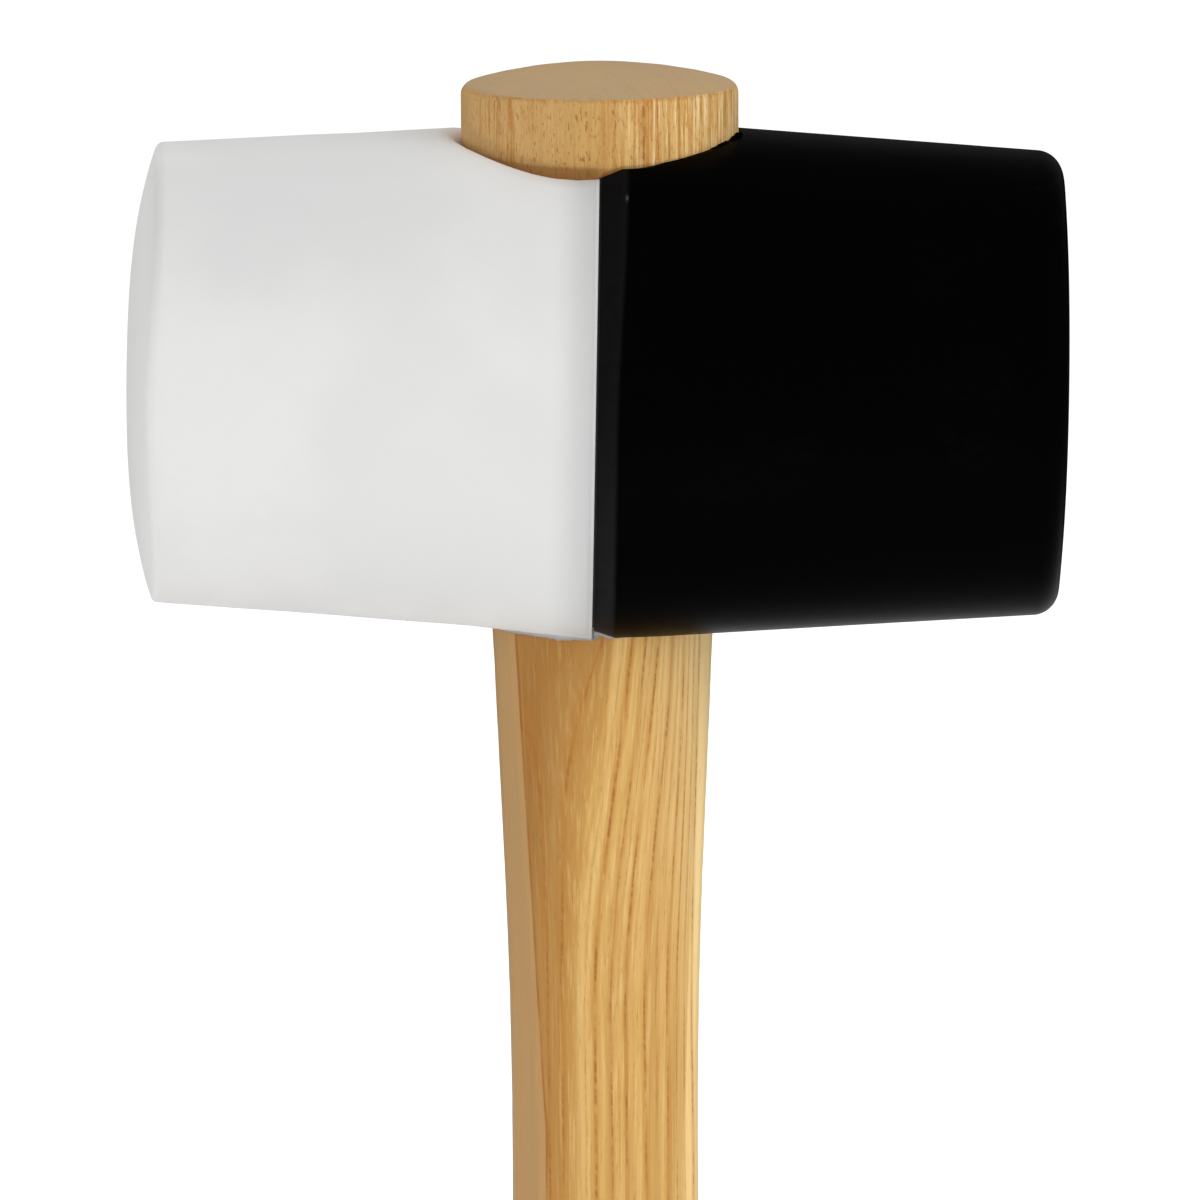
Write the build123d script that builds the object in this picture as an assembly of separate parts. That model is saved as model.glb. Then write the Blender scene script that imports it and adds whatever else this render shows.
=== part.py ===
from build123d import *
import math
import os

# Rubber mallet: a head of two bonded rubber halves on a slip-through wooden handle.
# Millimetres and degrees. The origin is the centre of the butt, the handle stands along +Z,
# and the head lies along X with its white half on the -X side.

overall_length = 360.0

# Head section: a rounded square, largest at the seam between the halves. Each half has three
# exponents, where 2 is a circle: its sides and top, and its flatter lowest part at the seam and
# at the edge of the band beside the seam.
girth_radius = 44.7
white_exponents = (2.55, 2.9, 2.55)
black_exponents = (2.38, 2.8, 2.8)
section_points = 32
head_shift = -0.75  # the seam lies this far from the handle's axis
head_tilt = 1.0  # the head sits this far out of square with the handle, white end high
seam_lean = 0.25  # the bonded faces lean this much more than the head, top towards +X
bond_thickness = 0.4
bond_inset = 0.6  # the bond stops this far inside the smaller seam face

# White half: a crisp rim, a well domed striking face, and a barrel that flares out to the seam.
white_rim_reach = 76.8
white_rim_radius = 39.35
white_dome_rise = 4.6
white_rim_fillet = 1.0
white_band_width = 22.0
white_band_depth = 0.1  # the seam face's edge lies this far inside the girth
white_barrel_drop = 0.62  # the straight barrel, carried on to the seam, is this much smaller

# Black half: a soft rim, a nearly flat striking face, and a narrow bevel at the seam.
black_rim_reach = 80.0
black_rim_radius = 39.7
black_dome_rise = 1.5
black_rim_fillet = 4.6
black_band_width = 3.8
black_band_depth = 1.3
black_barrel_drop = 0.0

dome_fullness = 2.9  # exponent of both domes, where 2 is nearly a sphere

# Eye: a tapered hole through the head, narrowest where the handle leaves it.
eye_exit_radius = 19.3
eye_taper = 1.6
taper_clearance = 0.05

# Knob on top of the handle, seated in a shallow recess in the rubber.
knob_radius = 24.1
knob_stand_out = 10.0  # crown of the knob over the head's highest line
knob_crown = 3.5
knob_edge = 0.5
knob_clearance = 0.1
seat_depth = 6.5  # below the rubber's edge at the front and back of the knob
seat_clearance = 0.3
white_lip_fillet = 3.8
black_lip_fillet = 0.8

# Shaft below the head. Each station holds: distance below the eye, half width, half depth,
# exponent of the section, and the angles where a facet leaves the side and meets the front.
blend_height = 12.0  # inside the eye, where the round plug starts to take the shaft's shape
shaft_stations = [
    (0.0, 19.15, 19.1, 2.0, 14.0, 31.0),
    (26.0, 18.05, 17.5, 2.2, 15.0, 36.0),
    (50.0, 17.05, 16.0, 2.4, 16.0, 42.0),
    (76.0, 16.45, 14.9, 2.6, 18.0, 48.0),
    (110.0, 16.4, 14.4, 2.7, 18.0, 49.0),
    (155.0, 17.0, 14.7, 2.7, 18.0, 49.0),
    (200.0, 17.6, 15.2, 2.6, 18.0, 48.0),
    (240.0, 17.2, 15.0, 2.6, 18.0, 48.0),
]
butt_station = (16.5, 14.4, 2.6, 18.0, 48.0)
butt_edge = 2.5

# Places that follow from the sizes above.
head_z = overall_length - knob_stand_out - girth_radius
head_place = Pos(head_shift, 0, head_z) * Rot(0, head_tilt, 0)
eye_exit_z = head_z - girth_radius
recess_radius = knob_radius + knob_clearance
upright = (Align.CENTER, Align.CENTER, Align.MIN)


def surface_height(offset):
    """Height of the black half's surface over the head's axis, this far to the front of it."""
    exponent = black_exponents[0]
    return girth_radius * (1 - (offset / girth_radius) ** exponent) ** (1 / exponent)


seat_z = head_z + surface_height(recess_radius) - seat_depth


def eye_radius(z):
    return eye_exit_radius + (z - eye_exit_z) * math.tan(math.radians(eye_taper))


def squared(value, exponent):
    """A cosine or sine pushed outwards, which turns a circle into a rounded square."""
    return math.copysign(abs(value) ** (2 / exponent), value)


def head_section(x, radius, sides, underside, lean):
    """A closed section across the head, in the head's own frame, flatter at its lowest part."""
    points = []
    for step in range(section_points):
        angle = math.tau * step / section_points
        depth = max(0, -math.sin(angle))
        exponent = sides + (underside - sides) * depth**2 * (3 - 2 * depth)
        across = radius * squared(math.cos(angle), exponent)
        up = radius * squared(math.sin(angle), exponent)
        points.append((across, up))
    plane = Plane(origin=(x, 0, 0), x_dir=(0, 1, 0), z_dir=(1, 0, 0)).rotated((0, lean, 0))
    return plane * make_face(Spline(*points, periodic=True))


def eye_and_recess():
    """The space that the handle and its knob take through the head."""
    low = eye_exit_z - girth_radius
    eye = Pos(0, 0, low) * Cone(eye_radius(low), eye_radius(seat_z), seat_z - low, align=upright)
    recess = Pos(0, 0, seat_z) * Cylinder(recess_radius, girth_radius, align=upright)
    return eye + recess


def on_recess_lip(edge):
    """True where the recess breaks through the rubber's outer surface."""
    middle = edge @ 0.5
    from_wall = abs(math.hypot(middle.X, middle.Y) - recess_radius)
    upright_edge = abs((edge @ 0).Z - (edge @ 1).Z) > 0.9 * edge.length
    return from_wall < 0.01 and middle.Z > seat_z + 0.1 and not upright_edge


def dome(reach, rim_radius, rise):
    """Everything inside a domed striking face at the +X end."""
    rim_share = [0, 0.25, 0.5, 0.7, 0.85, 1, 1.15]
    crown = [(reach + rise * (1 - share**dome_fullness), rim_radius * share) for share in rim_share]
    outline = Spline(*crown, tangents=[(0, 1), (-rise, rim_radius / dome_fullness)])
    outer = outline @ 1
    past_barrel = outer.Y + girth_radius
    back = Polyline(outer, (outer.X, past_barrel), (-reach, past_barrel), (-reach, 0), outline @ 0)
    return revolve(make_face([outline, back]), Axis.X)


def rubber_half(reach, rim_radius, rise, rim_fillet, width, depth, drop, exponents, lean):
    """A rubber half on the +X side of the seam, before the eye is cut."""
    sides, seam_underside, band_underside = exponents
    barrel_radius = girth_radius - drop
    slope = (barrel_radius - rim_radius) / reach
    past_dome = reach + 2 * rise
    face_x = bond_thickness / 2
    seam_face = head_section(face_x, girth_radius - depth, sides, seam_underside, lean)
    band_edge = head_section(width, barrel_radius - slope * width, sides, band_underside, lean)
    far_end = head_section(past_dome, barrel_radius - slope * past_dome, sides, sides, 0)
    barrel = loft([seam_face, band_edge, far_end], ruled=True) & dome(reach, rim_radius, rise)
    rim = barrel.edges().filter_by(lambda edge: edge.center().X > reach - rim_fillet)
    return fillet(rim, rim_fillet)


def seated(half, lip_fillet):
    """A rubber half with the handle's space cut out of it and the recess's lip rounded."""
    half = half - eye_and_recess()
    return fillet(half.edges().filter_by(on_recess_lip), lip_fillet)


def white_half():
    half = rubber_half(
        white_rim_reach,
        white_rim_radius,
        white_dome_rise,
        white_rim_fillet,
        white_band_width,
        white_band_depth,
        white_barrel_drop,
        white_exponents,
        -seam_lean,
    )
    return seated(head_place * mirror(half, Plane.YZ), white_lip_fillet)


def black_half():
    half = rubber_half(
        black_rim_reach,
        black_rim_radius,
        black_dome_rise,
        black_rim_fillet,
        black_band_width,
        black_band_depth,
        black_barrel_drop,
        black_exponents,
        seam_lean,
    )
    return seated(head_place * half, black_lip_fillet)


def bond_layer():
    """The thin bond between the seam faces, held back a little from the groove."""
    radius = girth_radius - max(white_band_depth, black_band_depth) - bond_inset
    half_thickness = bond_thickness / 2
    sides, underside, _ = min(white_exponents, black_exponents)
    ends = (-half_thickness, half_thickness)
    faces = [head_section(x, radius, sides, underside, seam_lean) for x in ends]
    return head_place * loft(faces, ruled=True) - eye_and_recess()


def plug_section(z, radius, side_angle, front_angle):
    """A circle in eight arcs that match the sides and facets of the shaft."""
    turns = [-front_angle, -side_angle, side_angle, front_angle]
    turns += [180 + turn for turn in turns]
    ends = [Vector(radius, 0).rotate(Axis.Z, turn) for turn in turns]
    arcs = [RadiusArc(ends[i], ends[(i + 1) % 8], -radius) for i in range(8)]
    return Pos(0, 0, z) * make_face(arcs)


def shaft_section(z, width, depth, exponent, side_angle, front_angle):
    """An oval with slightly curved front, back and sides, and a flat facet at each corner."""
    side_x = width * squared(math.cos(math.radians(side_angle)), exponent)
    side_y = depth * squared(math.sin(math.radians(side_angle)), exponent)
    front_x = width * squared(math.cos(math.radians(front_angle)), exponent)
    front_y = depth * squared(math.sin(math.radians(front_angle)), exponent)
    outline = [
        Line((front_x, -front_y), (side_x, -side_y)),
        ThreePointArc((side_x, -side_y), (width, 0), (side_x, side_y)),
        Line((side_x, side_y), (front_x, front_y)),
        ThreePointArc((front_x, front_y), (0, depth), (-front_x, front_y)),
        Line((-front_x, front_y), (-side_x, side_y)),
        ThreePointArc((-side_x, side_y), (-width, 0), (-side_x, -side_y)),
        Line((-side_x, -side_y), (-front_x, -front_y)),
        ThreePointArc((-front_x, -front_y), (0, -depth), (front_x, -front_y)),
    ]
    return Pos(0, 0, z) * make_face(outline)


def crowned_knob(low):
    """A disc with a low crown and a slightly softened rim."""
    crown_radius = (knob_radius**2 + knob_crown**2) / (2 * knob_crown)
    disc = Pos(0, 0, low) * Cylinder(knob_radius, overall_length - low, align=upright)
    disc &= Pos(0, 0, overall_length - crown_radius) * Sphere(crown_radius)
    rim = disc.edges().filter_by(lambda edge: edge.is_closed).sort_by(Axis.Z)[-1]
    return fillet(rim, knob_edge)


def handle():
    """Knob, tapered plug and shaft in one piece of wood."""
    knob_z = seat_z + seat_clearance
    blend_z = eye_exit_z + blend_height
    blend_radius = eye_radius(blend_z) - taper_clearance
    knob_end_radius = eye_radius(knob_z) - taper_clearance
    plug = Pos(0, 0, blend_z) * Cone(blend_radius, knob_end_radius, knob_z - blend_z, align=upright)
    side_angle, front_angle = shaft_stations[0][-2:]
    sections = [plug_section(blend_z, blend_radius, side_angle, front_angle)]
    sections += [shaft_section(eye_exit_z - drop, *shape) for drop, *shape in shaft_stations]
    sections.append(shaft_section(0, *butt_station))
    shaft = loft(sections)
    shaft = fillet(shaft.faces().sort_by(Axis.Z)[0].edges(), butt_edge)
    return crowned_knob(knob_z) + plug + shaft


os.makedirs("parts", exist_ok=True)
export_step(white_half(), "parts/white_half.step")
export_step(black_half(), "parts/black_half.step")
export_step(bond_layer(), "parts/bond_layer.step")
export_step(handle(), "parts/handle.step")
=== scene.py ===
import math
import bpy
from types import SimpleNamespace
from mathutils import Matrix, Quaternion, Vector, noise
from mathutils.bvhtree import BVHTree


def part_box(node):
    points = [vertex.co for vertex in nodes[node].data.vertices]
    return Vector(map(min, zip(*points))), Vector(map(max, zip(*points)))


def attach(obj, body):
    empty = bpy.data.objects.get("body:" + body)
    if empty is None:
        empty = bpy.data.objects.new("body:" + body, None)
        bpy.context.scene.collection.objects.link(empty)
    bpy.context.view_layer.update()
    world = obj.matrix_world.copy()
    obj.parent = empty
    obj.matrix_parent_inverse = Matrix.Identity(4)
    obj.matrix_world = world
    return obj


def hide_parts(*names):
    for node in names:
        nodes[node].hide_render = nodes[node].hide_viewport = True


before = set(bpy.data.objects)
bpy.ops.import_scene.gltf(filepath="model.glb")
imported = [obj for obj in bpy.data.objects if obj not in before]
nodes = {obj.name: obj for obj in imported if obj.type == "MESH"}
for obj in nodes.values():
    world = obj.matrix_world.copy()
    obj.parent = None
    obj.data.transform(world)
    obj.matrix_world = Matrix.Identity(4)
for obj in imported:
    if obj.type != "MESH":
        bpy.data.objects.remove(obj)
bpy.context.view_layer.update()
mm = 0.001

# Places read from the frame
crownOverAxis = 54.7 * mm  # from the head's axis up to the knob's crown
bondThickness = 0.4 * mm
bondLow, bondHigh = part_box("bond_layer")
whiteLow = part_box("white_half")[0]
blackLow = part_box("black_half")[0]
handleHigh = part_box("handle")[1]
seamX = (bondLow.x + bondHigh.x) / 2
seamLean = (bondHigh.x - bondLow.x - bondThickness) / (bondHigh.z - bondLow.z)
headZ = handleHigh.z - crownOverAxis
headLowZ = min(whiteLow.z, blackLow.z)
knobRadius = handleHigh.x
upwards, downwards = Vector((0, 0, 1)), Vector((0, 0, -1))
farOut, farUp = 0.2, handleHigh.z + 0.05  # clear of every piece, for casting rays
print("frame loaded", [round(v / mm, 1) for v in (seamX, headZ, knobRadius)])


class Sock:  # a node's output that can be used in sums
    def __init__(self, maker, socket):
        self.maker = maker
        self.socket = socket

    def maths(self, operation, first, second=0.0):
        return self.maker.node("ShaderNodeMath", {"operation": operation}, {0: first, 1: second})

    def __add__(self, other):
        return self.maths("ADD", self, other)

    def __radd__(self, other):
        return self.maths("ADD", other, self)

    def __sub__(self, other):
        return self.maths("SUBTRACT", self, other)

    def __rsub__(self, other):
        return self.maths("SUBTRACT", other, self)

    def __mul__(self, other):
        return self.maths("MULTIPLY", self, other)

    def __rmul__(self, other):
        return self.maths("MULTIPLY", other, self)

    def __truediv__(self, other):
        return self.maths("DIVIDE", self, other)

    def __rtruediv__(self, other):
        return self.maths("DIVIDE", other, self)

    def __abs__(self):
        return self.maths("ABSOLUTE", self)

    def slope(self, low, high):  # a straight step from 0 to 1
        return self.maker.node("ShaderNodeMapRange", {}, {0: self, 1: low, 2: high})

    def ramp(self, low, high, toLow=0.0, toHigh=1.0):  # a smooth step from one value to the other
        inputs = {0: self, 1: low, 2: high, 3: toLow, 4: toHigh}
        return self.maker.node("ShaderNodeMapRange", {"interpolation_type": "SMOOTHSTEP"}, inputs)

    def band(self, rise, fall):  # 1 between two smooth steps
        return self.ramp(*rise) * (1 - self.ramp(*fall))


class Maker:  # makes the nodes of a material or of the world
    def __init__(self, owner):
        owner.use_nodes = True
        self.owner = owner
        self.tree = owner.node_tree
        self.tree.nodes.clear()

    def node(self, kind, settings, inputs, output=0):
        made = self.tree.nodes.new(kind)
        for key, value in settings.items():
            setattr(made, key, value)
        for key, value in inputs.items():
            if isinstance(value, Sock):
                self.tree.links.new(value.socket, made.inputs[key])
            else:
                made.inputs[key].default_value = value
        return Sock(self, made.outputs[output])

    def place(self):
        return self.node("ShaderNodeTexCoord", {}, {}, "Object")

    def vector(self, operation, first, second=(0, 0, 0), scale=1.0):
        inputs = {0: first, 1: second, 3: scale}
        return self.node("ShaderNodeVectorMath", {"operation": operation}, inputs)

    def length(self, vector):
        return self.node("ShaderNodeVectorMath", {"operation": "LENGTH"}, {0: vector}, "Value")

    def split(self, vector):
        outputs = self.node("ShaderNodeSeparateXYZ", {}, {0: vector}).socket.node.outputs
        return [Sock(self, outputs[i]) for i in range(3)]

    def join(self, x, y, z):
        return self.node("ShaderNodeCombineXYZ", {}, {0: x, 1: y, 2: z})

    def noise(self, vector, scale, detail=3.0, roughness=0.5):
        if isinstance(scale, tuple):  # stretched differently along each axis
            vector, scale = self.vector("MULTIPLY", vector, scale), 1.0
        inputs = {"Vector": vector, "Scale": scale, "Detail": detail, "Roughness": roughness}
        return self.node("ShaderNodeTexNoise", {}, inputs, "Fac")

    def wave(self, value, detail):  # noise along one value
        inputs = {"W": value, "Scale": 1.0, "Detail": detail}
        return self.node("ShaderNodeTexNoise", {"noise_dimensions": "1D"}, inputs, "Fac")

    def blend(self, factor, first, second):
        settings = {"data_type": "RGBA", "clamp_factor": True}
        first = (*first, 1) if isinstance(first, tuple) else first
        second = (*second, 1) if isinstance(second, tuple) else second
        return self.node("ShaderNodeMix", settings, {0: factor, 6: first, 7: second}, 2)

    def bump(self, height, strength, distance, under=None):
        inputs = {"Strength": strength, "Distance": distance, "Height": height}
        if under:
            inputs["Normal"] = under
        return self.node("ShaderNodeBump", {}, inputs)

    def mixShaders(self, factor, first, second):
        return self.node("ShaderNodeMixShader", {}, {0: factor, 1: first, 2: second})

    def lightPath(self, output):
        return self.node("ShaderNodeLightPath", {}, {}, output)

    def surface(self, shader, kind="Material"):
        output = self.tree.nodes.new("ShaderNodeOutput" + kind)
        self.tree.links.new(shader.socket, output.inputs["Surface"])

    def principled(self, colour, roughness, normal, fixed):
        inputs = {"Base Color": colour, "Roughness": roughness, "Normal": normal, **fixed}
        self.surface(self.node("ShaderNodeBsdfPrincipled", {}, inputs))
        return self.owner


def newMaterial(name):
    return Maker(bpy.data.materials.new(name))


# Wood: growth rings cut by the handle. Each dark line ends a ring, and the wood beside it is
# darker. The grain fans out upwards as the handle flares. Lengths are in millimetres, from the
# handle's axis to the right and from the head's axis up.
woodSet = {
    # the fan: its heights, and how far it carries the lines aside at the left, middle and right
    "fanHeights": (-112.0, -27.0), "fanLeft": -5.4,
    "fanMiddle": 12.8, "fanMiddleReach": (-16, 0), "fanRight": 5.0, "fanRightReach": (11, 18),
    # where the fan spreads the grain and where it gathers it, and how much
    "spread": ((-17.5, -15), (-1, 1.5)), "spreadBy": 0.76,
    "gather": ((10.5, 13), (16, 18.5)), "gatherBy": 0.7,
    # the shaft's front in the grip and at the head, and how much the rings lean behind it
    "front": (14.4, 19.0), "frontHeights": (-145, -42), "lean": 0.42,
    "wander": 1.4, "waver": 0.26,  # how far the lines stray slowly and quickly
    # the facets' edges, in the grip and at the head
    "leftEdge": (-10.3, -15.0), "leftHeights": (-130, -45),
    "rightEdge": (13.7, 16.4), "rightHeights": (-130, -60),
    "knobHeights": (32.0, 36.0), "knobRim": 51.1,
    "knobFoot": 39.5, "footRise": 0.12,  # the rubber's edge at the knob's front, and its rise behind
    "darkBand": ((-21, -19), (-15, -13)),  # the dark part at the knob's left
    # where each line crosses the front, how dark it is, its width and its shade's reach
    "lines": ((-18.6, 0.12, 0.3, 0.8), (-14.6, 0.12, 0.3, 1.0), (-11.0, 0.50, 0.28, 2.0),
              (-8.7, 0.65, 0.30, 1.2), (-6.8, 0.75, 0.32, 1.8), (-3.2, 0.40, 0.28, 1.2),
              (-1.5, 1.0, 0.44, 1.9), (1.3, 0.80, 0.34, 1.5), (2.6, 0.35, 0.28, 0.9),
              (3.9, 0.90, 0.36, 1.5), (5.4, 0.30, 0.26, 0.9), (7.4, 0.85, 0.36, 1.6),
              (9.7, 0.40, 0.28, 1.2), (12.0, 0.75, 0.34, 1.4), (14.2, 0.70, 0.3, 0.5),
              (16.4, 0.6, 0.3, 0.8), (18.7, 0.8, 0.3, 1.1)),
    "shadeReach": 0.7, "shadeDark": 0.75,  # shares of a line's reach and darkness
    "streak": ((-3.8, -2.4), (-1.4, -0.3)),  # the pale wood before the strongest line
    "streakPower": 7,  # leaves the streak to the darkest line
    # how strongly each mark shows; rightFacet is a painted highlight, leftFacet a painted sheen and glow a
    # painted highlight along the knob's foot
    "depth": {"streak": 0.28, "shade": 0.68, "lines": 0.85, "edgeLine": 0.75, "leftFacet": 0.92,
              "rightFacet": 0.66, "knobLeft": 0.75, "knobPale": 0.16, "hair": 0.40, "pores": 0.35,
              "strokes": 0.70, "white": 0.62, "rim": 0.55, "foot": 0.55, "glow": 0.60,
              "endLines": 0.06, "speckle": 0.45},
    "tan": (0.560, 0.300, 0.076), "gold": (0.675, 0.402, 0.110), "pale": (0.980, 0.710, 0.315),
    # the facet colour is a duller tan painted on the left facet as a painted sheen
    "heart": (0.355, 0.155, 0.030), "left": (0.570, 0.335, 0.130), "facet": (0.505, 0.300, 0.116),
    "line": (0.340, 0.112, 0.014), "shade": (0.490, 0.198, 0.030), "pore": (0.170, 0.070, 0.014),
    # glow is the colour of the painted highlight along the knob's foot
    "white": (0.960, 0.790, 0.500), "glow": (0.950, 0.500, 0.130),
    "end": (0.480, 0.335, 0.185), "endWarm": (0.510, 0.345, 0.175), "endDark": (0.26, 0.15, 0.07),
}


def graded(share, ends):  # a value that runs from one end to the other
    return ends[0] + (ends[1] - ends[0]) * share


def woodPlaces(f):  # where a point lies in the wood, and the marks that follow its fibres
    s = woodSet
    w = SimpleNamespace()
    w.x, y, z = f.split(f.vector("SCALE", f.place(), scale=1 / mm))
    w.up = z - headZ / mm
    w.high = w.up.ramp(*s["fanHeights"])
    middle = s["fanMiddle"] * w.x.slope(*s["fanMiddleReach"])
    fan = s["fanLeft"] + middle - s["fanRight"] * w.x.ramp(*s["fanRightReach"])
    w.behind = y + graded(w.up.ramp(*s["frontHeights"]), s["front"])
    wander = (f.noise(f.join(w.x, y, w.up * 0.11), 0.07, 2.0) - 0.5) * s["wander"]
    waver = (f.noise(f.join(w.x, y, w.up * 0.16), 0.55, 2.0) - 0.5) * s["waver"]
    w.across = w.x - w.high * fan + w.behind * s["lean"] + wander + waver
    w.flow = f.join(w.x - w.high * fan * 0.5, y, w.up)

    w.onKnob = w.up.ramp(*s["knobHeights"])
    w.right = w.across.ramp(-3.0, 15.0)
    w.rough = w.x.ramp(0, 9) * w.onKnob
    w.heart = 1 - w.across.ramp(w.high * 0.5 - 9.5, w.high - 4.9)
    w.pastLeft = w.x - (graded(w.up.slope(*s["leftHeights"]), s["leftEdge"]) + waver)
    pastRight = w.x - (graded(w.up.slope(*s["rightHeights"]), s["rightEdge"]) + waver)
    w.leftFacet = (1 - w.pastLeft.ramp(-0.25, 0.05)) * (1 - w.onKnob)
    w.rightFacet = pastRight.ramp(-0.3, 0.3) * (1 - w.onKnob)

    w.fibre = f.noise(w.flow, (2.2, 2.2, 0.030), 4.0, 0.6)
    w.hair = f.noise(w.flow, (4.2, 4.2, 0.22), 4.0, 0.65)
    w.pores = f.noise(w.flow, (5.0, 5.0, 0.30), 2.0).ramp(0.66, 0.74)
    w.strokes = f.noise(w.flow, (4.5, 4.5, 0.7), 3.0, 0.6)
    return w


def ringLines(f, w):  # the line that ends each ring, the shade beside it and a pale streak
    s = woodSet
    spread = w.x.band(*s["spread"]) * s["spreadBy"] - w.x.band(*s["gather"]) * s["gatherBy"]
    pace = 1 - w.high * spread  # how fast `across` runs against x
    w.lines, w.shade, w.streak = 0.0, 0.0, 0.0
    for i, (at, dark, width, reach) in enumerate(s["lines"]):
        away = (w.across - at) / pace
        broken = f.wave(w.up * 0.060 + i * 5.3, 4.0).ramp(0.36, 0.60, 0.12, 1.0)
        beads = f.wave(w.up * 0.55 + w.x * 0.4 + i * 7.1, 4.0).ramp(0.36, 0.58, 0.40, 1.0)
        thin = 1 - abs(away).ramp(0.0, width)
        beside = 1 - abs(away).ramp(0.0, reach * s["shadeReach"])
        w.lines = w.lines + thin * dark * broken * beads
        w.shade = w.shade + beside * (dark * s["shadeDark"])
        w.streak = w.streak + away.band(*s["streak"]) * dark ** s["streakPower"]


def ringColour(f, w):  # the colour of the rings and of the flats, with painted light near the head and on the facets, before the fibres
    s, depth = woodSet, woodSet["depth"]
    bands = f.noise(f.join(w.across * 0.30, 0.0, w.up * 0.006), 1.0, 3.0)
    colour = f.blend(bands.ramp(0.38, 0.62), s["tan"], s["gold"])
    # painted light: the shaft's right turns paler towards the head, where the head's shadow falls, and the
    # right facet is painted paler as a painted highlight
    paintedLightNearHead = 0.04 + 0.38 * w.up.ramp(-125, -60) + 0.28 * w.up.ramp(-70, -45) - 0.40 * w.onKnob
    colour = f.blend(w.right * paintedLightNearHead + w.rightFacet * depth["rightFacet"], colour, s["pale"])
    redder = 0.72 + 0.28 * w.up.ramp(-110, -55) - 0.60 * w.onKnob
    colour = f.blend(w.heart * redder, colour, s["heart"])
    colour = f.blend(w.streak * depth["streak"], colour, s["pale"])
    colour = f.blend(w.shade * depth["shade"], colour, s["shade"])
    # painted sheen: the left facet is painted a duller, greyer tan in place of the reflection of pale
    # surroundings
    colour = f.blend(w.leftFacet * depth["leftFacet"], colour, s["facet"])
    colour = f.blend(w.onKnob * (1 - w.x.ramp(-20, 8)) * depth["knobLeft"], colour, s["left"])
    return f.blend(w.onKnob * depth["knobPale"], colour, s["pale"])


def fibreColour(f, w, colour):  # pale and dark fibres and open pores, softer on the facets
    s, depth = woodSet, woodSet["depth"]
    detail = 1 - 0.6 * w.leftFacet - 0.4 * w.rightFacet
    pale = w.fibre.ramp(0.48, 0.72) * detail * (0.30 - 0.18 * w.heart + 0.45 * w.onKnob * w.right)
    colour = f.blend(pale, colour, s["pale"])
    darker = 0.36 + 0.25 * w.heart * (1 - w.onKnob) - 0.12 * w.onKnob + 0.40 * w.rough
    colour = f.blend((1 - w.fibre.ramp(0.26, 0.48)) * detail * darker, colour, s["shade"])
    colour = f.blend((1 - w.hair.ramp(0.28, 0.46)) * detail * depth["hair"], colour, s["shade"])
    return f.blend(w.pores * depth["pores"] * detail, colour, s["pore"])


def knobColour(f, w, colour):  # the knob's side: strokes, streaks, a dark rim, a ragged foot and a painted highlight along the foot at the right
    s, depth = woodSet, woodSet["depth"]
    colour = f.blend(w.strokes.ramp(0.57, 0.66) * w.onKnob * depth["strokes"], colour, s["line"])
    streaks = f.noise(w.flow, (1.35, 1.35, 0.07), 4.0, 0.65)
    colour = f.blend(streaks.ramp(0.54, 0.64) * w.rough * depth["white"], colour, s["white"])
    inDarkBand = w.x.band(*s["darkBand"]) * w.onKnob
    dark = w.onKnob * 0.30 + w.rough * 0.45 + inDarkBand * 0.45
    colour = f.blend((1 - streaks.ramp(0.36, 0.50)) * dark, colour, s["shade"])
    ragged = f.noise(w.flow, (2.5, 2.5, 1.2), 3.0)
    rim = (w.up - s["knobRim"]).ramp(-0.9, -0.2) * ragged.ramp(0.35, 0.60) * w.onKnob
    colour = f.blend(rim * depth["rim"], colour, s["shade"])
    aboveFoot = w.up - s["knobFoot"] - w.behind * s["footRise"]
    foot = (1 - aboveFoot.ramp(0.0, ragged * 1.5)) * w.onKnob
    colour = f.blend(foot * depth["foot"] * (1 - w.right * 0.8), colour, s["line"])
    # painted highlight: a bright orange line along the foot at the right, where light catches it
    return f.blend(foot * depth["glow"] * w.right, colour, s["glow"])


def endColour(f, w):  # end grain
    s, depth = woodSet, woodSet["depth"]
    speckle = f.noise(w.flow, (3.0, 3.0, 0.3), 3.0)
    colour = f.blend(f.noise(w.flow, 0.12, 4.0).ramp(0.3, 0.7), s["end"], s["endWarm"])
    rings = w.lines * depth["endLines"] + w.shade * depth["endLines"]
    colour = f.blend(rings, colour, s["endDark"])
    return f.blend(speckle.ramp(0.63, 0.72) * depth["speckle"], colour, s["endDark"])


def woodFinish():
    s, depth = woodSet, woodSet["depth"]
    f = newMaterial("ash_wood")
    w = woodPlaces(f)
    ringLines(f, w)
    colour = knobColour(f, w, fibreColour(f, w, ringColour(f, w)))
    colour = f.blend(w.lines * depth["lines"] * (1 - w.leftFacet * 0.9), colour, s["line"])
    edgeLine = w.pastLeft.band((-0.25, 0.05), (0.05, 0.45)) * (1 - w.onKnob)
    broken = f.wave(w.up * 0.05 + 3.0, 3.0).ramp(0.35, 0.6)
    colour = f.blend(edgeLine * broken * depth["edgeLine"], colour, s["line"])
    # faces that look up or down cut the fibres across
    facing = abs(f.split(f.node("ShaderNodeNewGeometry", {}, {}, "Normal"))[2])
    isEnd = facing.ramp(0.55, 0.80)
    colour = f.blend(isEnd, colour, endColour(f, w))
    roughness = 0.42 + w.fibre * 0.12 + isEnd * 0.20
    raised = w.fibre * (0.4 + 0.8 * w.onKnob) + w.hair * 0.3 - w.pores * 0.6
    normal = f.bump(raised + w.strokes * w.onKnob * 0.8, 0.25, 0.10 * mm)
    fixed = {"Coat Weight": 0.05, "Coat Roughness": 0.35, "Specular IOR Level": 0.25}
    return f.principled(colour, roughness, normal, fixed)


def seamDistance(f):  # from the seam's plane, positive on the black side
    x, y, z = f.split(f.place())
    return x - seamX - (z - headZ) * seamLean


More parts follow.
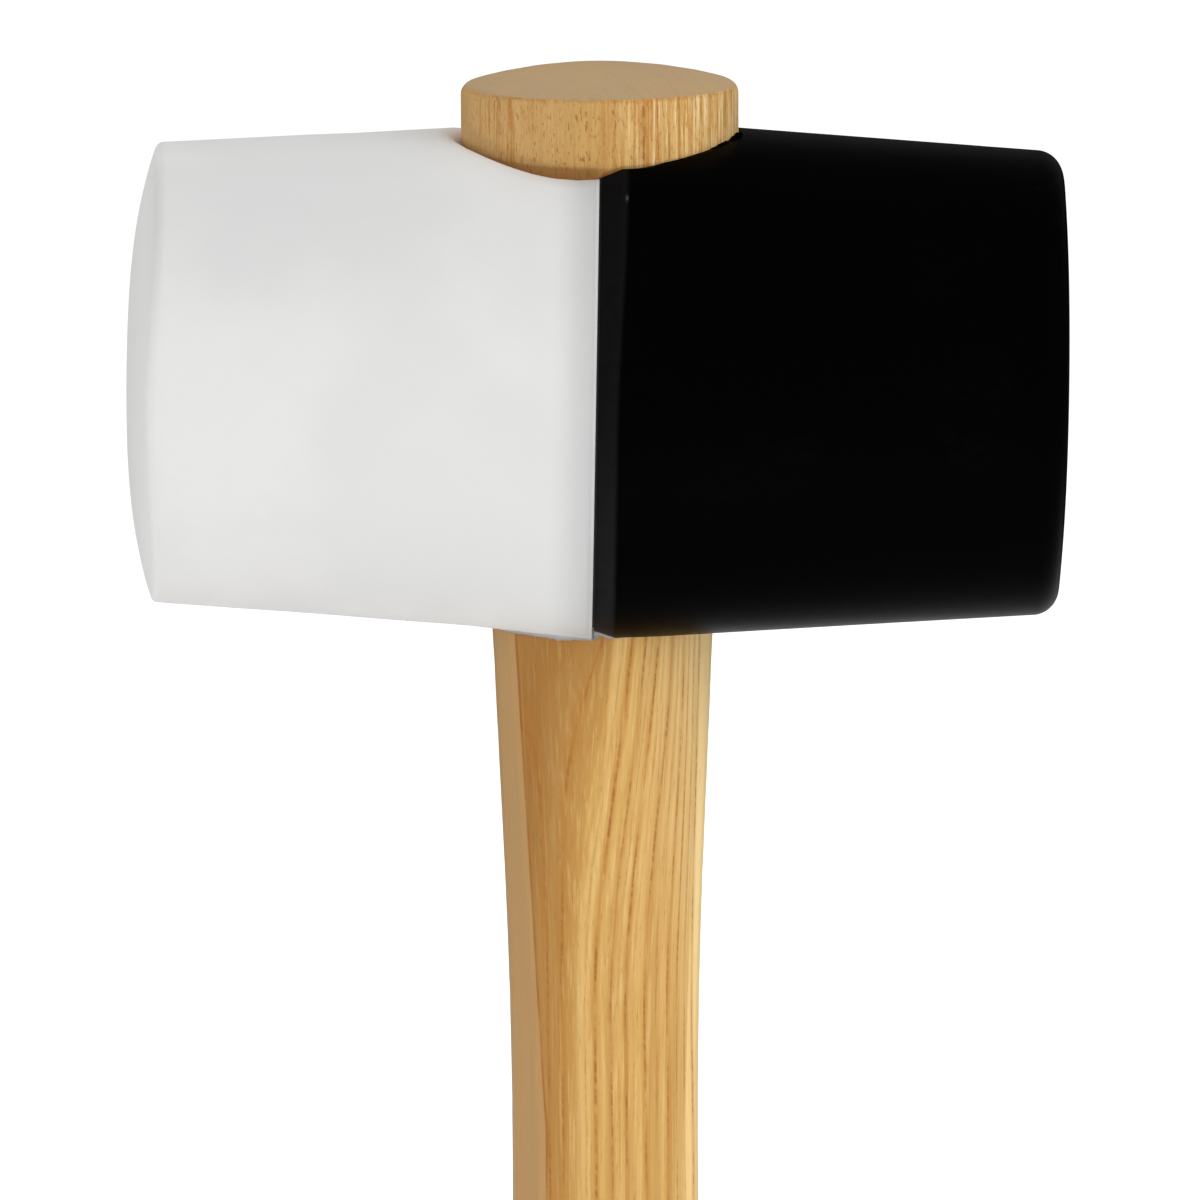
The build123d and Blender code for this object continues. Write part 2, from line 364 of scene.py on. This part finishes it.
whiteSet = {
    "base": (0.795, 0.795, 0.785), "cloud": (0.745, 0.748, 0.742), "warm": (0.795, 0.775, 0.740),
    "edge": (0.575, 0.578, 0.575), "seamShadeReach": 8.5 * mm,  # painted shade, greyer towards the seam
    "lip": (-0.8 * mm, -0.5 * mm),  # where the painted shade lifts into a painted highlight line at the seam's very edge
    "face": (0.865, 0.862, 0.850), "paintedFaceLightReach": 7.0 * mm,  # painted light, paler on the striking face
    "softEdge": 3.0 * mm, "specular": 0.25,
}


def whiteFinish(name="white_rubber", edged=True):
    s = whiteSet
    f = newMaterial(name)
    place = f.place()
    cloud = f.noise(place, 34.0, 4.0, 0.45)
    mottle = f.noise(place, 420.0, 3.0, 0.6)
    colour = f.blend(cloud.ramp(0.36, 0.64), s["base"], s["cloud"])
    colour = f.blend(f.noise(place, 16.0, 2.0).ramp(0.45, 0.75) * 0.35, colour, s["warm"])
    colour = f.blend(mottle.ramp(0.45, 0.75) * 0.12, colour, s["cloud"])
    if edged:
        # painted shade, greyer towards the seam, with a painted highlight line at its very edge
        toSeam = seamDistance(f)
        near = toSeam.ramp(-s["seamShadeReach"], s["lip"][1]) * (1 - 0.8 * toSeam.ramp(*s["lip"]))
        colour = f.blend(near * (0.85 + 0.2 * cloud), colour, s["edge"])
    # painted light on the striking face
    fromFace = f.split(place)[0] - whiteLow.x
    colour = f.blend(1 - fromFace.ramp(0.5 * s["paintedFaceLightReach"], s["paintedFaceLightReach"]), colour, s["face"])
    roughness = 0.46 + mottle * 0.08 + cloud * 0.06
    soft = f.node("ShaderNodeBevel", {"samples": 6}, {"Radius": s["softEdge"]})
    slow = f.bump(f.noise(place, 60.0, 2.0), 0.10, 0.3 * mm, soft)
    normal = f.bump(f.noise(place, 900.0, 2.0), 0.10, 0.05 * mm, slow)
    return f.principled(colour, roughness, normal, {"Specular IOR Level": s["specular"]})


blackSet = {
    "base": (0.0009, 0.0009, 0.0010), "dust": (0.0022, 0.0022, 0.0024), "ior": 1.05,
    # the painted highlight strip beside the seam, where its bevel catches light: its width, and how much
    # wider it is at the top
    "litStrip": (0.0150, 0.0150, 0.0162), "stripReach": 3.7 * mm, "stripFlare": 1.2 * mm,
    "stripSoft": (-0.7 * mm, 0.4 * mm), "stripTop": (-5 * mm, 38 * mm),
    "stripFade": (-35 * mm, 10 * mm), "stripFaded": 0.45,  # dimmer towards the top
    "paleSpot": (4.6 * mm, 35.0 * mm), "paleSpotSize": (0.4 * mm, 1.1 * mm), "paleSpotColour": (0.10, 0.10, 0.10),
}


def blackFinish():
    s = blackSet
    f = newMaterial("black_rubber")
    place = f.place()
    x, y, z = f.split(place)
    up = z - headZ
    cloud = f.noise(place, 40.0, 4.0, 0.55)
    mottle = f.noise(place, 500.0, 3.0, 0.6)
    colour = f.blend(cloud.ramp(0.50, 0.80) * mottle.ramp(0.4, 0.7), s["base"], s["dust"])
    # painted highlight: a paler strip along the seam's bevel, where it catches light
    fromSeam = seamDistance(f) - up.ramp(*s["stripTop"]) * s["stripFlare"]
    litStrip = 1 - fromSeam.ramp(*[s["stripReach"] + soft for soft in s["stripSoft"]])
    low = up.ramp(*s["stripFade"], 1.0, s["stripFaded"])
    colour = f.blend(litStrip * low * (0.6 + 0.6 * mottle), colour, s["litStrip"])
    # a small pale spot on the strip beside the seam
    spotX, spotUp = s["paleSpot"]
    away = f.length(f.join((x - spotX) * 3.0, 0.0, up - spotUp))
    paleSpot = (1 - away.ramp(*s["paleSpotSize"])) * mottle.ramp(0.35, 0.6)
    colour = f.blend(paleSpot * 0.5, colour, s["paleSpotColour"])
    roughness = 0.25 + mottle * 0.08 + cloud * 0.05
    slow = f.bump(f.noise(place, 60.0, 2.0), 0.10, 0.3 * mm)
    normal = f.bump(f.noise(place, 900.0, 2.0), 0.12, 0.05 * mm, slow)
    return f.principled(colour, roughness, normal, {"IOR": s["ior"]})


def bondFinish():
    f = newMaterial("bond_rubber")
    grit = f.noise(f.place(), 700.0, 3.0)
    colour = f.blend(grit, (0.012, 0.012, 0.012), (0.040, 0.039, 0.037))
    return f.principled(colour, 0.6 + grit * 0.2, f.bump(grit, 0.3, 0.1 * mm), {})


def dress(piece, material):
    if not piece.data.materials:
        piece.data.materials.append(material)
    for slot in piece.material_slots:
        slot.material = material


def newPiece(name, verts, faces, material):
    mesh = bpy.data.meshes.new(name)
    mesh.from_pydata(verts, [], faces)
    mesh.validate()
    mesh.shade_smooth()
    mesh.set_sharp_from_angle(angle=math.radians(50))
    piece = bpy.data.objects.new(name, mesh)
    bpy.context.scene.collection.objects.link(piece)
    dress(piece, material)
    return piece


def surfaceTree(name):  # for casting rays on a CAD node
    mesh = nodes[name].data
    return BVHTree.FromPolygons([v.co for v in mesh.vertices], [p.vertices for p in mesh.polygons])


def axisDistance(tree, way, z):  # from the handle's axis to the surface, this way
    return tree.ray_cast(way * farOut + upwards * z, -way)[0].xy.length


def topZ(tree, spot):  # the surface's height over this spot
    return tree.ray_cast(spot + upwards * farUp, downwards)[0].z


wood = woodFinish()
white = whiteFinish()
whiteLoose = whiteFinish("white_flash_rubber", False)
black = blackFinish()
dress(nodes["white_half"], white)
dress(nodes["black_half"], black)
dress(nodes["bond_layer"], bondFinish())
print("finishes made")


# Handle: a fine skin over the CAD handle, with shaving marks, a worn knob rim and chips
handleSet = {
    "around": 360, "shaftStep": 1.5 * mm, "sideSteps": 26, "rimSteps": 7, "crownSteps": 30,
    "crownPower": 0.8,  # closer rings towards the rim
    "buttShares": (0.2, 0.4, 0.6, 0.8, 0.93), "buttHeights": (0.08, 0.35, 0.8, 1.4, 2.1, 3.0),  # mm
    "footStep": 0.05 * mm,  # from the shaft's last ring to the knob's underside
    "footAt": 0.93,  # share of the knob's radius where the foot's height is measured
    "cadRim": 0.6 * mm,  # how far in the CAD knob's rim is softened
    "crownRun": 2 * mm, "crownTop": 0.1 * mm,  # to measure the crown's slope; its middle's depth
    "rim": 0.35 * mm, "wornRim": 1.5 * mm,
    "crispFrom": -38, "crispTo": 72, "wornOver": 9,  # degrees from the front
    "shaving": 0.12 * mm, "fibre": 0.02 * mm, "shavingEnd": 6 * mm,  # below the head
    "ridge": 0.12 * mm, "fray": 0.08 * mm, "frayFrom": 6 * mm, "frayTo": 3 * mm,  # above the foot
    "dish": 0.08 * mm, "chipFrom": 0.22, "chipReach": 1.6 * mm, "chipDeep": 2.2 * mm, "chipWide": 1.2 * mm,
    # how fine each mark is across and along the fibres, in waves to the metre
    "grain": {"shaving": (45, 14), "fibre": (700, 9), "ridge": (900, 16), "broad": (190, 12),
              "fray": (1500, 300), "chip": (330, 0), "dish": (60, 0)},
}


def grain(kind, p):
    across, upright = handleSet["grain"][kind]
    return noise.noise(Vector((p.x * across, p.y * across, p.z * upright)))


def shaftRows(tree, ways, foot):  # from the middle of the butt up to the foot of the knob
    s = handleSet
    heights = [height * mm for height in s["buttHeights"]]
    low = heights[0]
    rows = []
    for share in s["buttShares"]:
        rows.append(([way * axisDistance(tree, way, low) * share for way in ways], "butt"))
    start = heights[-1]
    steps = int((foot - start) / s["shaftStep"])
    heights += [start + (foot - start) * k / steps for k in range(1, steps)]
    heights.append(foot - s["footStep"])
    for z in heights:
        rows.append(([way * axisDistance(tree, way, z) + upwards * z for way in ways], "shaft"))
    return rows


def rimRadius(turn):  # the rim's rounding, larger where it is worn
    s = handleSet
    fromFront = math.degrees(math.atan2(math.cos(turn), -math.sin(turn)))
    outside = max(s["crispFrom"] - fromFront, fromFront - s["crispTo"])
    worn = min(1, max(0, outside / s["wornOver"]))
    return s["rim"] + (s["wornRim"] - s["rim"]) * worn


def knobRows(tree, turns, ways, foot):  # the knob's side, rim and crown
    s = handleSet
    radii = [rimRadius(turn) for turn in turns]
    inside = knobRadius - s["cadRim"]

    def crownZ(way, radius):  # the crown, carried on past the CAD knob's rim
        if radius <= inside:
            return topZ(tree, way * radius)
        edge = topZ(tree, way * inside)
        slope = (topZ(tree, way * (inside - s["crownRun"])) - edge) / s["crownRun"]
        return edge - slope * (radius - inside)

    rows = []
    rimZ = crownZ(ways[0], knobRadius)
    for k in range(s["sideSteps"] + 1):
        share = k / s["sideSteps"]
        rows.append(([way * knobRadius + upwards * (foot + (rimZ - r - foot) * share)
                      for way, r in zip(ways, radii)], "side"))
    for k in range(1, s["rimSteps"] + 1):
        bend = math.pi / 2 * k / s["rimSteps"]
        points = []
        for way, r in zip(ways, radii):
            radius = knobRadius - r * (1 - math.cos(bend))
            points.append(way * radius + upwards * (crownZ(way, radius) - r * (1 - math.sin(bend))))
        rows.append((points, "rim"))
    for k in range(1, s["crownSteps"]):
        share = (1 - k / s["crownSteps"]) ** s["crownPower"]
        spots = [way * (knobRadius - r) * share for way, r in zip(ways, radii)]
        rows.append(([spot + upwards * topZ(tree, spot) for spot in spots], "crown"))
    return rows


def worked(p, way, kind, foot):  # a point after shaving, splitting and wear
    s = handleSet
    inward, sink = 0.0, 0.0
    if kind == "shaft":
        shaved = s["shaving"] * (0.5 + 0.5 * grain("shaving", p)) + s["fibre"] * (1 + grain("fibre", p))
        inward = shaved * min(1.0, max(0.0, (headLowZ - p.z) / s["shavingEnd"]))
    if kind in ("side", "rim"):
        rough = 0.3 + 0.7 * max(0.0, way.x * 0.9 - way.y * 0.35)  # roughest at the right
        inward = s["ridge"] * (0.35 * (1 + grain("broad", p)) + 0.65 * rough * (1 + grain("ridge", p)))
        frayed = (foot + s["frayFrom"] - p.z) / (s["frayFrom"] - s["frayTo"])
        inward += min(1.0, max(0.0, frayed)) * s["fray"] * (1 + grain("fray", p))
    if kind in ("rim", "crown"):
        near = max(0.0, 1 - (knobRadius - p.xy.length) / s["chipReach"])
        chip = near * max(0.0, grain("chip", p) - s["chipFrom"])
        sink = s["dish"] * (1 + grain("dish", p)) + chip * s["chipDeep"]
        inward += chip * s["chipWide"]
    return p - way * inward - upwards * sink


def handleSkin():
    s = handleSet
    around = s["around"]
    tree = surfaceTree("handle")
    turns = [math.tau * i / around for i in range(around)]
    ways = [Vector((math.cos(turn), math.sin(turn), 0)) for turn in turns]
    foot = tree.ray_cast(Vector((knobRadius * s["footAt"], 0, headZ)), upwards)[0].z
    rows = shaftRows(tree, ways, foot) + knobRows(tree, turns, ways, foot)
    print("handle rows", len(rows))
    verts = [worked(p, way, kind, foot) for points, kind in rows for way, p in zip(ways, points)]
    verts += [Vector((0, 0, 0)), upwards * (handleHigh.z - s["crownTop"])]
    bottom, top, lastRow = len(verts) - 2, len(verts) - 1, (len(rows) - 1) * around
    faces = []
    for row in range(len(rows) - 1):
        for column in range(around):
            a, b = row * around + column, row * around + (column + 1) % around
            faces.append((a, b, b + around, a + around))
    for column in range(around):
        following = (column + 1) % around
        faces.append((bottom, following, column))
        faces.append((top, lastRow + column, lastRow + following))
    return newPiece("handle_skin", verts, faces, wood)


handle = handleSkin()
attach(handle, "handle")
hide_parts("handle")
print("handle made", len(handle.data.polygons))


def ribbon(stations):  # a closed strip through stations that each hold the same number of points
    count = len(stations[0])
    verts = [point for station in stations for point in station]
    faces = []
    for row in range(len(stations) - 1):
        for k in range(count):
            a, b = row * count + k, row * count + (k + 1) % count
            faces.append((a, b, b + count, a + count))
    faces.append(tuple(range(count - 1, -1, -1)))
    faces.append(tuple(range(len(verts) - count, len(verts))))
    return verts, faces


def anglesOf(pairs, step):  # from the first pair's angle to the last pair's
    first, last = pairs[0][0], pairs[-1][0]
    return [first + k * step for k in range(int((last - first) / step) + 1)]


def valueAt(pairs, angle):  # read between the pairs of an angle and a value
    for (a, valueA), (b, valueB) in zip(pairs, pairs[1:]):
        if a <= angle <= b:
            return valueA + (valueB - valueA) * (angle - a) / (b - a)


# Burr: rubber that the knob has pushed up along its foot on the black side, torn near the end
burrSet = {
    # degrees from the black end, front first, and millimetres above the rubber
    "heights": ((-86, 0.0), (-74, 0.08), (-64, 0.45), (-54, 0.45), (-36, 0.22), (30, 0.22), (86, 0.05)),
    "step": 0.5, "gap": 0.12 * mm, "width": 0.9 * mm,
    "uneven": (0.31, 2.0), "unevenHeight": 0.35, "unevenWidth": 0.4,
    "torn": 1.3 * mm, "tornFrom": -40, "tornTo": -6, "tornOver": 5,
    "jags": (0.42, 7.0), "jagLift": 0.15,
    # shares of the width and the height, then how far the foot and the outer edge are sunk
    "profile": ((0.0, 0.8), (0.35, 1.0), (0.75, 0.45)), "spread": 0.4,
    "footAt": 0.25 * mm, "sunk": 0.5 * mm, "edgeSunk": 0.1 * mm,
}


def unevenAt(angle, pattern):
    pace, row = pattern
    return noise.noise(Vector((angle * pace, row, 0)))


def blackBurr():
    s = burrSet
    tree = surfaceTree("black_half")
    inner = knobRadius + s["gap"]
    stations = []
    for angle in anglesOf(s["heights"], s["step"]):
        turn = math.radians(angle)
        way = Vector((math.cos(turn), math.sin(turn), 0))
        uneven = unevenAt(angle, s["uneven"])
        height = valueAt(s["heights"], angle) * mm * (1 + s["unevenHeight"] * uneven)
        inside = min(angle - s["tornFrom"], s["tornTo"] - angle) / s["tornOver"]
        jagged = max(0.0, unevenAt(angle, s["jags"]) + s["jagLift"])
        height += jagged * s["torn"] * min(1, max(0, inside))
        width = s["width"] * (1 + s["unevenWidth"] * uneven) + height * s["spread"]
        base = topZ(tree, way * (inner + s["footAt"]))
        profile = [(0.0, base - s["sunk"])]
        profile += [(width * out, base + height * up) for out, up in s["profile"]]
        profile.append((width, topZ(tree, way * (inner + width)) - s["edgeSunk"]))
        stations.append([way * (inner + out) + upwards * z for out, z in profile])
    return newPiece("black_burr", *ribbon(stations), black)


# Flash: a torn skirt of white rubber that hangs where the handle leaves the eye
flashSet = {
    # degrees from the front, and millimetres below the rubber
    "hangs": ((-80, 0.0), (-68, 0.30), (-50, 0.42), (-31, 0.60), (-22, 0.85), (-13, 0.35),
              (-4, 0.10), (3, 0.15), (8, 0.02), (12, 0.15), (16, 0.0)),
    "step": 0.5, "gap": 0.25 * mm, "thick": 0.45 * mm, "least": 0.02 * mm,
    "ragged": 0.12, "ragPace": 0.45,
    "tuck": 0.3 * mm, "tip": (0.12 * mm, 0.03 * mm), "splay": 0.2 * mm,  # the section's shape
    "bridge": 6,  # steps to either side over which the flash spans the seam's groove
    "castBelow": 20 * mm, "level": 2 * mm,  # from the height where the handle is measured
}


def whiteFlash():
    s = flashSet
    trees = [surfaceTree("white_half"), surfaceTree("black_half")]
    handleTree = surfaceTree("handle")
    level = headLowZ + s["level"]
    angles = anglesOf(s["hangs"], s["step"])
    ways = [Vector((math.sin(math.radians(a)), -math.cos(math.radians(a)), 0)) for a in angles]
    inners = [axisDistance(handleTree, way, level) + s["gap"] for way in ways]

    def underside(spot):
        start = spot + upwards * (level - s["castBelow"])
        hits = [tree.ray_cast(start, upwards)[0] for tree in trees]
        return min(hit.z for hit in hits if hit)

    tops = [underside(way * (inner + s["thick"])) for way, inner in zip(ways, inners)]
    stations = []
    for k, (angle, way, inner) in enumerate(zip(angles, ways, inners)):
        uneven = noise.noise(Vector((angle * s["ragPace"], 0, 5)))
        hang = (valueAt(s["hangs"], angle) + s["ragged"] * uneven) * mm
        reach = s["bridge"]
        edge = min(tops[max(0, k - reach):k + reach + 1]) - max(hang, s["least"])
        outer, tucked = inner + s["thick"], tops[k] + s["tuck"]
        tipOut, tipDown = s["tip"]
        profile = [(inner, tucked), (inner, edge), (inner + tipOut, edge - tipDown),
                   (outer, (edge + tops[k]) / 2), (outer + s["splay"], tucked)]
        stations.append([way * radius + upwards * z for radius, z in profile])
    return newPiece("white_flash", *ribbon(stations), whiteLoose)


for piece in (blackBurr(), whiteFlash()):
    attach(piece, "head")
print("burr and flash made")


# Stage
stageSet = {
    "floorSize": 60.0, "glow": 0.62, "glossyGlow": 0.2,  # the floor shows white to the camera
    "darkBeyond": (0.7, 1.6),  # metres from the handle, where reflections see a darker floor
    "ambient": 0.525, "room": 0.10, "backdrop": 0.11, "roomReach": (-0.3, 0.5),
}


def makeFloor():
    s = stageSet
    f = newMaterial("pale_floor")
    colour = f.blend(f.noise(f.place(), 8.0, 3.0), (0.80, 0.80, 0.80), (0.83, 0.83, 0.83))
    plain = f.node("ShaderNodeBsdfDiffuse", {}, {"Color": colour})
    glow = f.node("ShaderNodeEmission", {}, {"Color": (1, 1, 1, 1), "Strength": s["glow"]})
    both = f.node("ShaderNodeAddShader", {}, {0: plain, 1: glow})
    seen = f.lightPath("Is Camera Ray") + f.lightPath("Is Glossy Ray") * s["glossyGlow"]
    shown = f.mixShaders(seen, plain, both)
    dark = f.node("ShaderNodeBsdfDiffuse", {}, {"Color": (0.01, 0.01, 0.01, 1)})
    far = f.length(f.place()).ramp(*s["darkBeyond"]) * f.lightPath("Is Glossy Ray")
    f.surface(f.mixShaders(far, shown, dark))
    half = s["floorSize"] / 2
    corners = [(-half, -half, 0), (half, -half, 0), (half, half, 0), (-half, half, 0)]
    floor = newPiece("floor", corners, [(0, 1, 2, 3)], f.owner)


def makeWorld():
    s = stageSet
    world = bpy.data.worlds.new("studio")
    bpy.context.scene.world = world
    f = Maker(world)
    world.cycles.sampling_method = "NONE"
    back = f.split(f.node("ShaderNodeTexCoord", {}, {}, "Generated"))[1]
    reflected = back.ramp(*s["roomReach"], s["room"], s["backdrop"])
    pale = (1, 1, 1, 1)
    ambient = f.node("ShaderNodeBackground", {}, {"Color": pale, "Strength": s["ambient"]})
    room = f.node("ShaderNodeBackground", {}, {"Color": pale, "Strength": reflected})
    clear = f.node("ShaderNodeBackground", {}, {"Color": pale, "Strength": 1.0})
    shader = f.mixShaders(f.lightPath("Is Glossy Ray"), ambient, room)
    f.surface(f.mixShaders(f.lightPath("Is Camera Ray"), shader, clear), "World")


lampSet = {  # azimuth clockwise from the front and elevation, seen from the head, in degrees
    "key": {"azimuth": 62, "elevation": 27, "distance": 1.4, "size": 0.9, "power": 7.6},
    "fill": {"azimuth": -75, "elevation": 8, "distance": 1.8, "size": 0.6, "power": 5.2},
    "low": {"azimuth": 2, "elevation": -20, "distance": 0.8, "size": 0.16, "power": 1.9},
    "back": {"azimuth": 200, "elevation": 55, "distance": 1.6, "size": 1.2, "power": 10.0},
}


def makeLamps():
    target = upwards * headZ
    for name, s in lampSet.items():
        a, e = math.radians(s["azimuth"]), math.radians(s["elevation"])
        away = Vector((math.sin(a) * math.cos(e), -math.cos(a) * math.cos(e), math.sin(e)))
        data = bpy.data.lights.new(name, "AREA")
        data.shape = "DISK"
        data.size = s["size"]
        data.energy = s["power"]
        lamp = bpy.data.objects.new(name, data)
        lamp.location = target + away * s["distance"]
        lamp.rotation_mode = "QUATERNION"
        lamp.rotation_quaternion = away.to_track_quat("Z", "Y")
        lamp.visible_camera = False
        lamp.visible_glossy = False  # the rubber reflects the room alone
        bpy.context.scene.collection.objects.link(lamp)


cameraSet = {
    "elevation": 7.8, "roll": -0.3, "distance": 2.5, "viewWidth": 208.2 * mm, "sensor": 36.0,
    "across": 0.502, "down": 0.314,  # where the handle's axis meets the head's, as shares of the frame
}


def makeCamera():
    s = cameraSet
    data = bpy.data.cameras.new("camera")
    data.sensor_width = s["sensor"]
    data.lens = s["sensor"] * s["distance"] / s["viewWidth"]
    data.clip_start, data.clip_end = 0.1, 100.0
    camera = bpy.data.objects.new("camera", data)
    bpy.context.scene.collection.objects.link(camera)
    bpy.context.scene.camera = camera
    e = math.radians(s["elevation"])
    back = Vector((0, -math.cos(e), math.sin(e)))
    right = Vector((1, 0, 0))
    up = back.cross(right)
    target = upwards * headZ
    camera.location = target + back * s["distance"]
    aim = target + (right * (0.5 - s["across"]) - up * (0.5 - s["down"])) * s["viewWidth"]
    look = (aim - camera.location).to_track_quat("-Z", "Y")
    camera.rotation_mode = "QUATERNION"
    camera.rotation_quaternion = look @ Quaternion((0, 0, 1), math.radians(s["roll"]))


makeFloor()
makeWorld()
makeLamps()
makeCamera()
bpy.context.scene.view_settings.view_transform = "Standard"
print("stage made")
